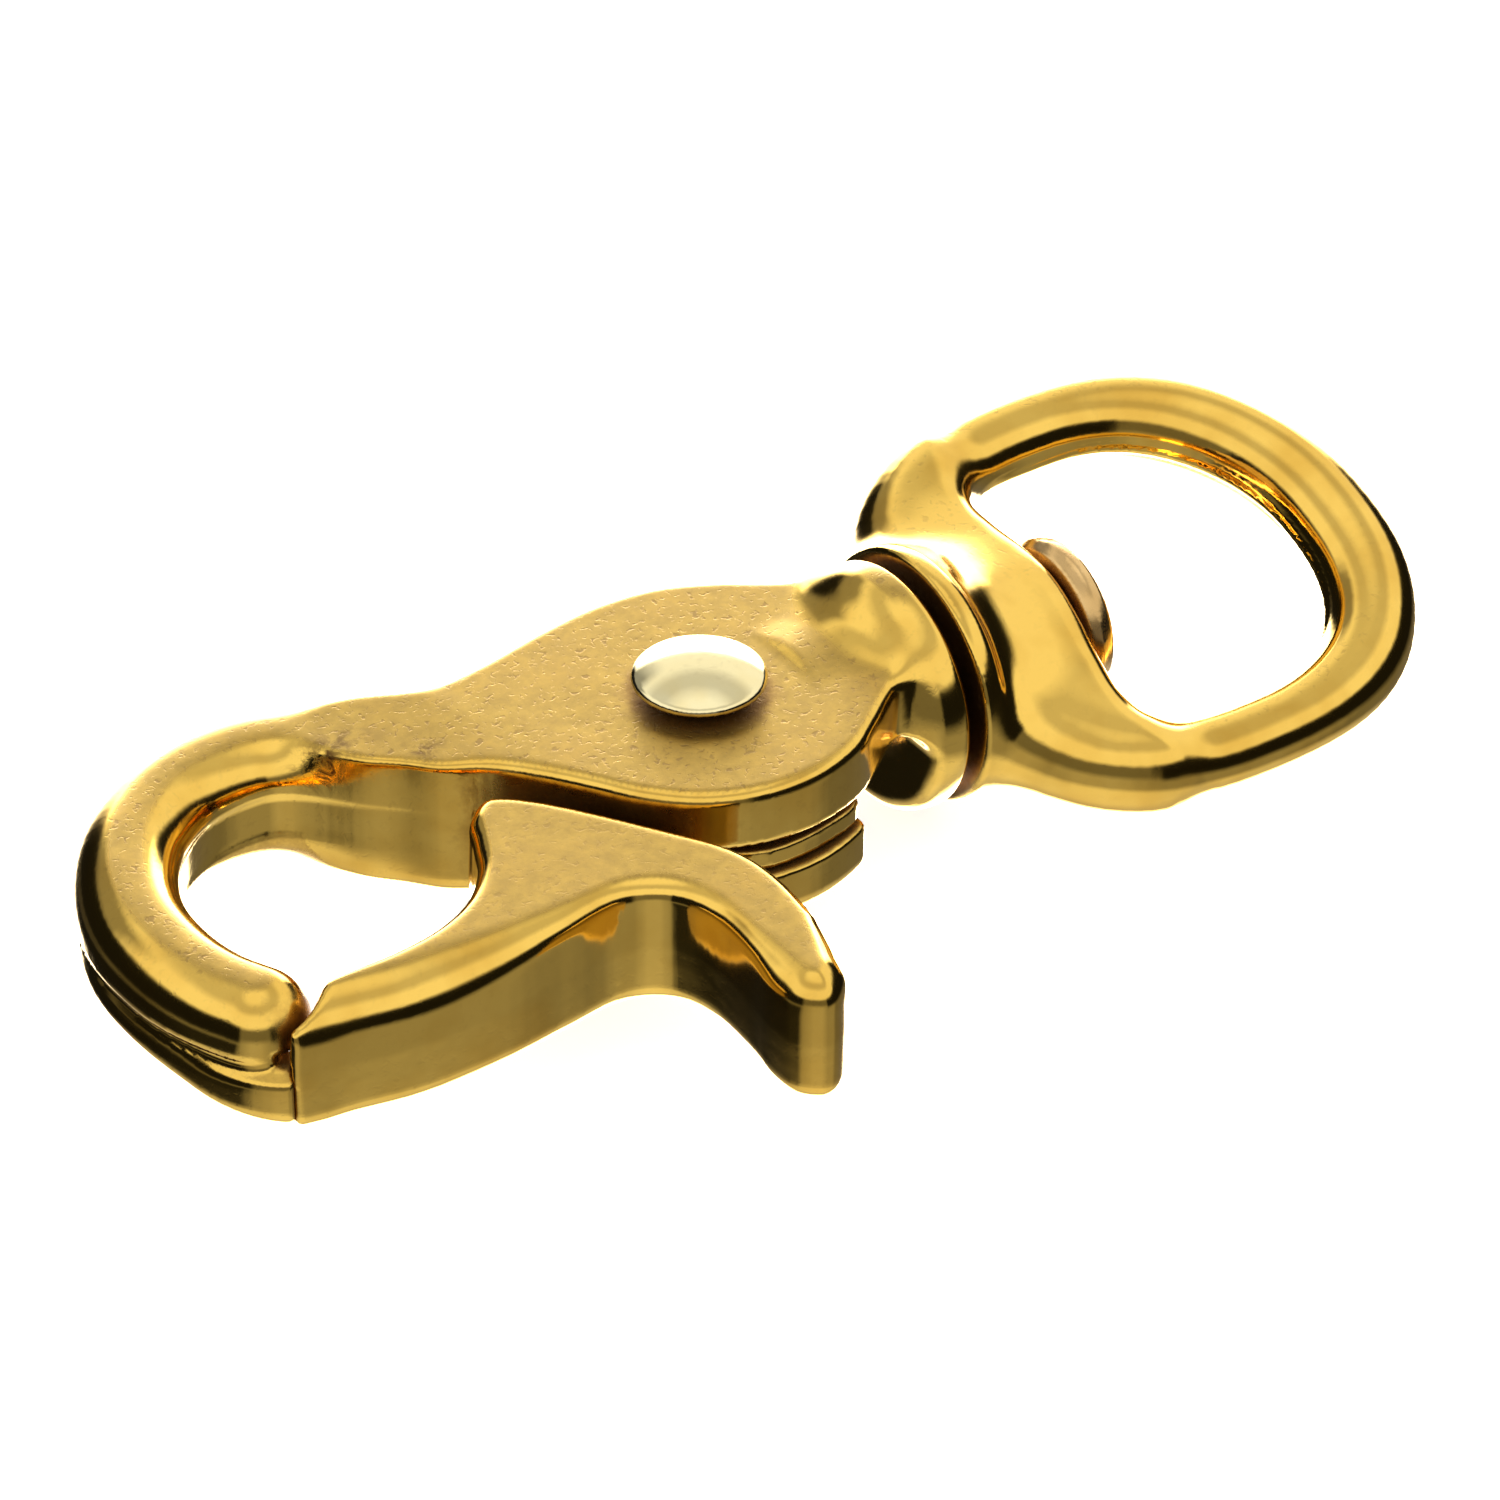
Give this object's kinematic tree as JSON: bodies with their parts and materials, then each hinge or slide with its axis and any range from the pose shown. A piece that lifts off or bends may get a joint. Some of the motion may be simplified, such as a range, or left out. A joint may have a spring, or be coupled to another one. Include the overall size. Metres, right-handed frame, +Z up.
{
  "type": "trigger snap hook with swivel eye",
  "caption": "Solid brass trigger snap: a hook closed by a sprung gate with a thumb lever, and a D-shaped eye that swivels on a stud behind the collar.",
  "frame": {"origin": "centre of the footprint, on the surface that the snap lies on", "axes": "+X along the snap from the hook to the eye, +Z up along the gate's rivet towards its head, +Y away from the gate's lever"},
  "size_m": [0.0878, 0.0422, 0.0158],
  "materials": {
    "body_brass": "tumbled and polished casting, darker in the recesses",
    "gate_brass": "polished casting",
    "rivet_brass": "bright polished",
    "spring_steel": "drawn wire",
    "eye_brass": "polished casting",
    "stud_brass": "dull, brownish"
  },
  "bodies": {
    "body": {"snap_body": "body_brass", "pivot_rivet": "rivet_brass", "gate_spring": "spring_steel", "swivel_stud": "stud_brass"},
    "gate": {"gate": "gate_brass"},
    "eye": {"swivel_eye": "eye_brass"}
  },
  "joints": [
    {"name": "gate_hinge", "type": "hinge", "parent": "body", "child": "gate", "pos_m": [-0.00441, 0.00554, 0.00788], "axis": [0, 0, 1], "range_deg": [0, 25], "stiffness_Nm_per_rad": 0.15, "springref_deg": -40.11, "deforming": ["gate_spring"]},
    {"name": "eye_swivel", "type": "hinge", "parent": "body", "child": "eye", "pos_m": [0.0124, 0.00554, 0.00788], "axis": [1, 0, 0], "continuous": true}
  ]
}
